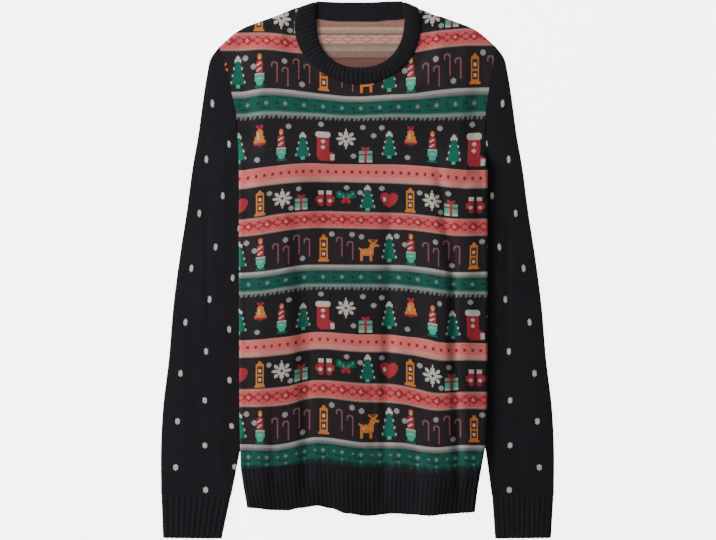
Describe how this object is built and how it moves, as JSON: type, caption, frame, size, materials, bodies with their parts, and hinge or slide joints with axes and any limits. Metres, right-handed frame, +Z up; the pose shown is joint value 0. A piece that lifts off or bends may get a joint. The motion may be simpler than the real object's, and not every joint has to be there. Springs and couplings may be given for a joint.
{
  "type": "christmas sweater laid flat",
  "caption": "Long-sleeved round-neck knitted christmas sweater laid flat, sides folded under, striped jacquard body, dark dotted sleeves and ribbed hem, cuffs and neckband.",
  "frame": {"origin": "on the surface the garment lies on, below the middle of its bounding box", "axes": "+Z up from the surface, +Y towards the collar, +X to the right as seen from above with the collar at the top"},
  "size_m": [0.5366, 0.7334, 0.0139],
  "materials": {
    "jacquard_knit": "fine jacquard knit in dark, red, green and pale yarns, matt and slightly fuzzy",
    "sleeve_knit": "plain near-black knit with small off-white dots, matt",
    "rib_knit": "near-black rib knit, matt"
  },
  "bodies": {
    "root": {"front": "jacquard_knit", "back": "jacquard_knit", "sleeve_left": "sleeve_knit", "sleeve_right": "sleeve_knit", "cuff_left": "rib_knit", "cuff_right": "rib_knit", "hem_front": "rib_knit", "hem_back": "rib_knit", "neckband": "rib_knit"}
  },
  "joints": []
}
